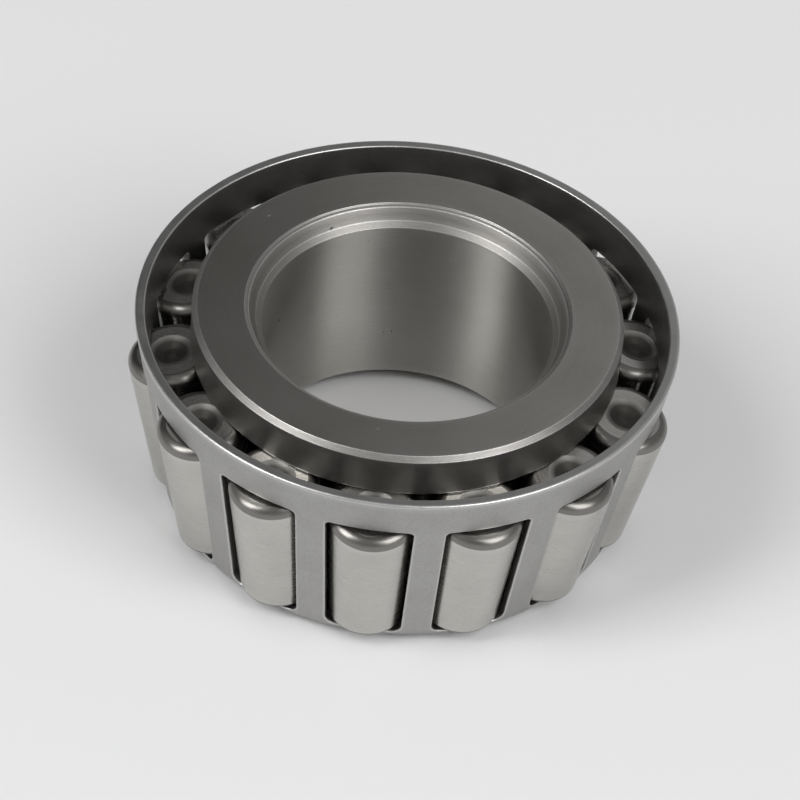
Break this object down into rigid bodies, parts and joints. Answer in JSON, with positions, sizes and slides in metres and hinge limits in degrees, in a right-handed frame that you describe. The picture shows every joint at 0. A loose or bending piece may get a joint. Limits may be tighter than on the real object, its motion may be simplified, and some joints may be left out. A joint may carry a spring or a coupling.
{
  "type": "tapered roller bearing cone",
  "caption": "Inner ring with a large and a small rib, tapered rollers and a windowed pressed-steel cage, to press on a shaft and run in a tapered outer ring.",
  "frame": {"origin": "on the bearing's axis, in the plane of the cage's small-end flange, which the bearing stands on; the inner ring's small face is 0.8 mm above it", "axes": "+Z along the bearing's axis, from the small end to the large rib; the axis of roller_01 lies in the plane through -Y"},
  "size_m": [0.0408, 0.0416, 0.0174],
  "materials": {
    "ring_steel": "ground bearing steel, satin, fine turning lines",
    "cage_steel": "pressed sheet steel, matt light grey with a fine grain",
    "roller_steel": "ground and honed, smooth satin"
  },
  "bodies": {
    "inner_ring": {"inner_ring": "ring_steel"},
    "cage": {"cage": "cage_steel"},
    "roller_01": {"roller_01": "roller_steel"},
    "roller_02": {"roller_02": "roller_steel"},
    "roller_03": {"roller_03": "roller_steel"},
    "roller_04": {"roller_04": "roller_steel"},
    "roller_05": {"roller_05": "roller_steel"},
    "roller_06": {"roller_06": "roller_steel"},
    "roller_07": {"roller_07": "roller_steel"},
    "roller_08": {"roller_08": "roller_steel"},
    "roller_09": {"roller_09": "roller_steel"},
    "roller_10": {"roller_10": "roller_steel"},
    "roller_11": {"roller_11": "roller_steel"},
    "roller_12": {"roller_12": "roller_steel"},
    "roller_13": {"roller_13": "roller_steel"},
    "roller_14": {"roller_14": "roller_steel"}
  },
  "joints": [
    {"name": "cage_spin", "type": "hinge", "parent": "inner_ring", "child": "cage", "pos_m": [0, 0, 0.009], "axis": [0, 0, 1], "continuous": true},
    {"name": "roller_01_spin", "type": "hinge", "parent": "cage", "child": "roller_01", "pos_m": [0, -0.0156, 0.00173], "axis": [0, -0.1706, 0.9853], "continuous": true},
    {"name": "roller_02_spin", "type": "hinge", "parent": "cage", "child": "roller_02", "pos_m": [0.00677, -0.01406, 0.00173], "axis": [0.074, -0.1537, 0.9853], "continuous": true},
    {"name": "roller_03_spin", "type": "hinge", "parent": "cage", "child": "roller_03", "pos_m": [0.0122, -0.00973, 0.00173], "axis": [0.1333, -0.1063, 0.9853], "continuous": true},
    {"name": "roller_04_spin", "type": "hinge", "parent": "cage", "child": "roller_04", "pos_m": [0.01521, -0.00347, 0.00173], "axis": [0.1663, -0.038, 0.9853], "continuous": true},
    {"name": "roller_05_spin", "type": "hinge", "parent": "cage", "child": "roller_05", "pos_m": [0.01521, 0.00347, 0.00173], "axis": [0.1663, 0.038, 0.9853], "continuous": true},
    {"name": "roller_06_spin", "type": "hinge", "parent": "cage", "child": "roller_06", "pos_m": [0.0122, 0.00973, 0.00173], "axis": [0.1333, 0.1063, 0.9853], "continuous": true},
    {"name": "roller_07_spin", "type": "hinge", "parent": "cage", "child": "roller_07", "pos_m": [0.00677, 0.01406, 0.00173], "axis": [0.074, 0.1537, 0.9853], "continuous": true},
    {"name": "roller_08_spin", "type": "hinge", "parent": "cage", "child": "roller_08", "pos_m": [0, 0.0156, 0.00173], "axis": [0, 0.1706, 0.9853], "continuous": true},
    {"name": "roller_09_spin", "type": "hinge", "parent": "cage", "child": "roller_09", "pos_m": [-0.00677, 0.01406, 0.00173], "axis": [-0.074, 0.1537, 0.9853], "continuous": true},
    {"name": "roller_10_spin", "type": "hinge", "parent": "cage", "child": "roller_10", "pos_m": [-0.0122, 0.00973, 0.00173], "axis": [-0.1333, 0.1063, 0.9853], "continuous": true},
    {"name": "roller_11_spin", "type": "hinge", "parent": "cage", "child": "roller_11", "pos_m": [-0.01521, 0.00347, 0.00173], "axis": [-0.1663, 0.038, 0.9853], "continuous": true},
    {"name": "roller_12_spin", "type": "hinge", "parent": "cage", "child": "roller_12", "pos_m": [-0.01521, -0.00347, 0.00173], "axis": [-0.1663, -0.038, 0.9853], "continuous": true},
    {"name": "roller_13_spin", "type": "hinge", "parent": "cage", "child": "roller_13", "pos_m": [-0.0122, -0.00973, 0.00173], "axis": [-0.1333, -0.1063, 0.9853], "continuous": true},
    {"name": "roller_14_spin", "type": "hinge", "parent": "cage", "child": "roller_14", "pos_m": [-0.00677, -0.01406, 0.00173], "axis": [-0.074, -0.1537, 0.9853], "continuous": true}
  ],
  "couplings": [
    {"joint": "roller_01_spin", "follows": "cage_spin", "ratio": 4.2833},
    {"joint": "roller_02_spin", "follows": "cage_spin", "ratio": 4.2833},
    {"joint": "roller_03_spin", "follows": "cage_spin", "ratio": 4.2833},
    {"joint": "roller_04_spin", "follows": "cage_spin", "ratio": 4.2833},
    {"joint": "roller_05_spin", "follows": "cage_spin", "ratio": 4.2833},
    {"joint": "roller_06_spin", "follows": "cage_spin", "ratio": 4.2833},
    {"joint": "roller_07_spin", "follows": "cage_spin", "ratio": 4.2833},
    {"joint": "roller_08_spin", "follows": "cage_spin", "ratio": 4.2833},
    {"joint": "roller_09_spin", "follows": "cage_spin", "ratio": 4.2833},
    {"joint": "roller_10_spin", "follows": "cage_spin", "ratio": 4.2833},
    {"joint": "roller_11_spin", "follows": "cage_spin", "ratio": 4.2833},
    {"joint": "roller_12_spin", "follows": "cage_spin", "ratio": 4.2833},
    {"joint": "roller_13_spin", "follows": "cage_spin", "ratio": 4.2833},
    {"joint": "roller_14_spin", "follows": "cage_spin", "ratio": 4.2833}
  ]
}
